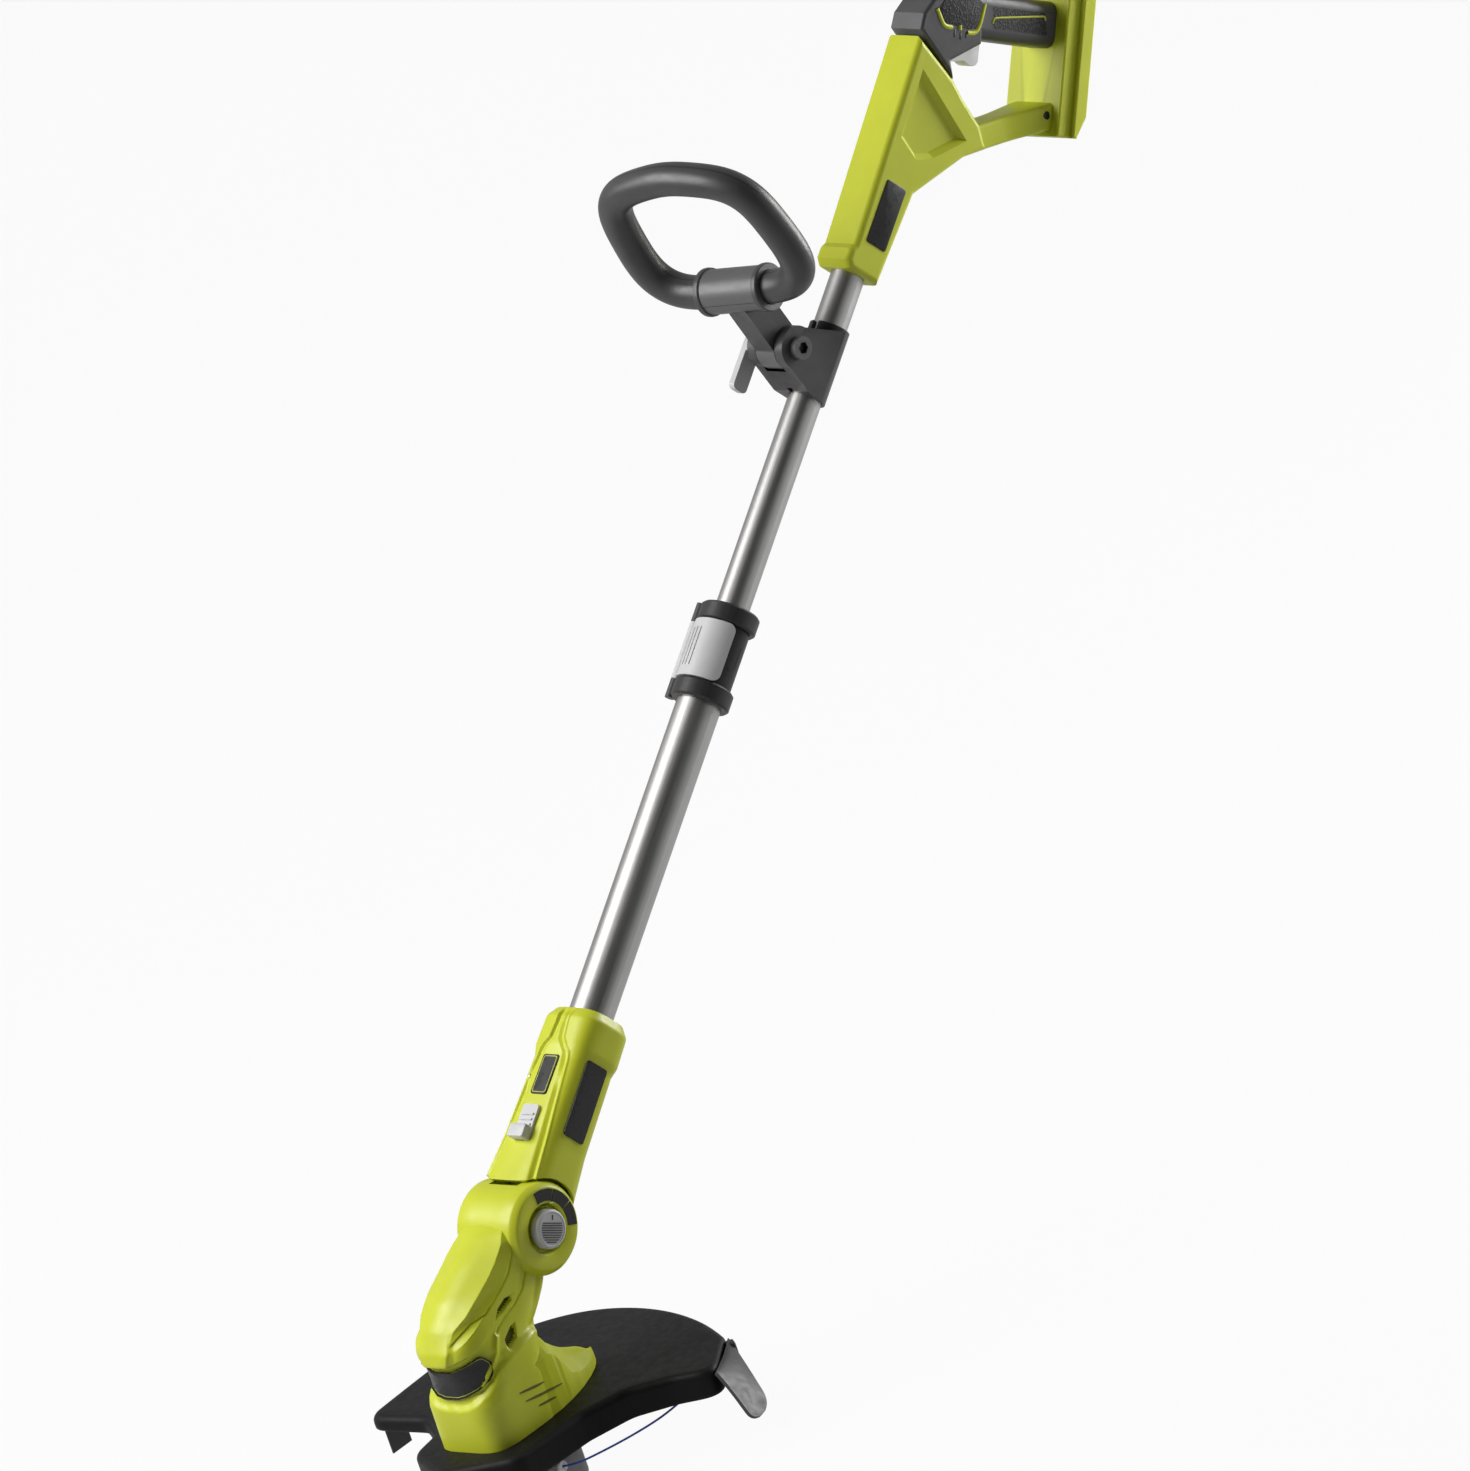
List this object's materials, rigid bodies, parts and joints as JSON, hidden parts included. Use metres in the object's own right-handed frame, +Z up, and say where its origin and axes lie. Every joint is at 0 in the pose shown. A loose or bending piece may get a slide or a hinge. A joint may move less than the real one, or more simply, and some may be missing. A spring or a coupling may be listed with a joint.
{
  "type": "string trimmer",
  "caption": "Cordless string trimmer with an angled telescopic shaft, adjustable loop front handle, rear D-handle with battery dock, tilting motor head, guard and spool with free cutting line.",
  "frame": {"origin": "centre of the flat foot under the spool, on the spool's axis", "axes": "+Z up along the spool axis, +Y from the head back towards the user along the ground, +X to the user's left"},
  "size_m": [0.2997, 1.0241, 0.8082],
  "materials": {
    "lime_plastic": "moulded satin plastic",
    "dark_plastic": "moulded dark plastic with fine grain",
    "grip_rubber": "soft textured overmould",
    "pale_plastic": "moulded pale grey plastic",
    "grey_plastic": "moulded mid grey plastic",
    "tube_aluminium": "drawn satin tube",
    "steel": "zinc-plated steel",
    "board": "potted circuit board",
    "terminals": "plated contacts in a plastic block",
    "line": "drawn nylon line"
  },
  "bodies": {
    "handle": {"handle_shell_left": "lime_plastic", "handle_shell_right": "lime_plastic", "grip_shell_left": "dark_plastic", "grip_shell_right": "dark_plastic", "grip_pad_left": "grip_rubber", "grip_pad_right": "grip_rubber", "handle_screws": "steel", "trigger_pin": "steel", "switch_body": "dark_plastic", "control_board": "board", "battery_terminals": "terminals", "upper_tube": "tube_aluminium", "guide_bush": "grey_plastic"},
    "trigger": {"trigger": "pale_plastic"},
    "lock_off": {"lock_off_button": "dark_plastic"},
    "bracket": {"tube_bracket": "dark_plastic", "bracket_bolt": "steel", "cam_pin": "steel"},
    "cam_lever": {"cam_lever": "pale_plastic"},
    "front_handle": {"handle_yoke": "dark_plastic", "yoke_cap": "dark_plastic", "loop_half_upper": "dark_plastic", "loop_half_lower": "dark_plastic"},
    "lower_shaft": {"lower_tube": "tube_aluminium", "top_bush": "grey_plastic", "swivel_flange": "grey_plastic", "clamp_collar": "dark_plastic", "clamp_pin": "steel"},
    "clamp_lever": {"clamp_lever": "pale_plastic"},
    "neck": {"neck_shell_left": "lime_plastic", "neck_shell_right": "lime_plastic", "neck_screws": "steel", "pivot_axle": "steel"},
    "edge_latch": {"edge_latch": "pale_plastic"},
    "head": {"front_cowl": "lime_plastic", "motor_shell_left": "lime_plastic", "motor_shell_right": "lime_plastic", "motor_can": "steel", "motor_bearing": "steel", "guard": "dark_plastic", "guard_screws": "steel", "line_cutter": "steel", "button_spring": "steel"},
    "pivot_button": {"pivot_button": "grey_plastic"},
    "spool": {"motor_shaft": "steel", "spool_housing": "grey_plastic", "line_eyelet": "pale_plastic", "spool_bobbin": "grey_plastic", "line_winding": "line", "spool_cap": "grey_plastic", "spool_spring": "steel", "cutting_line": "line"}
  },
  "joints": [
    {"name": "trigger_pull", "type": "hinge", "parent": "handle", "child": "trigger", "pos_m": [0, 0.82606, 0.75203], "axis": [1, 0, 0], "range_deg": [0, 12], "stiffness_Nm_per_rad": 0.6, "springref_deg": -8.59},
    {"name": "lock_off_press", "type": "slide", "parent": "handle", "child": "lock_off", "axis": [0, -0.5417, -0.8406], "range_m": [0, 0.003], "stiffness_N_per_m": 900, "springref_m": -0.002},
    {"name": "bracket_slide", "type": "slide", "parent": "handle", "child": "bracket", "axis": [0, 0.788, 0.6157], "range_m": [-0.05, 0.03]},
    {"name": "cam_lever_swing", "type": "hinge", "parent": "bracket", "child": "cam_lever", "pos_m": [-0.025, 0.58432, 0.63307], "axis": [0, 0.6157, -0.788], "range_deg": [0, 105]},
    {"name": "front_handle_tilt", "type": "hinge", "parent": "bracket", "child": "front_handle", "pos_m": [0, 0.58432, 0.63307], "axis": [1, 0, 0], "range_deg": [-30, 45]},
    {"name": "telescope_slide", "type": "slide", "parent": "handle", "child": "lower_shaft", "axis": [0, 0.788, 0.6157], "range_m": [-0.12, 0.08]},
    {"name": "clamp_lever_swing", "type": "hinge", "parent": "lower_shaft", "child": "clamp_lever", "pos_m": [-0.0213, 0.42255, 0.4698], "axis": [0, 0.788, 0.6157], "range_deg": [-105, 0]},
    {"name": "neck_swivel", "type": "hinge", "parent": "lower_shaft", "child": "neck", "pos_m": [0, 0.078, 0.188], "axis": [0, 0.788, 0.6157], "range_deg": [0, 180]},
    {"name": "edge_latch_slide", "type": "slide", "parent": "neck", "child": "edge_latch", "axis": [0, 0.788, 0.6157], "range_m": [0, 0.008], "stiffness_N_per_m": 300, "springref_m": -0.003},
    {"name": "head_tilt", "type": "hinge", "parent": "neck", "child": "head", "pos_m": [0, 0.078, 0.188], "axis": [1, 0, 0], "range_deg": [-25, 25]},
    {"name": "pivot_button_press", "type": "slide", "parent": "head", "child": "pivot_button", "axis": [-1, 0, 0], "range_m": [0, 0.003], "stiffness_N_per_m": 1500, "springref_m": -0.002},
    {"name": "spool_spin", "type": "hinge", "parent": "head", "child": "spool", "pos_m": [0, 0, 0], "axis": [0, 0, 1], "continuous": true}
  ]
}
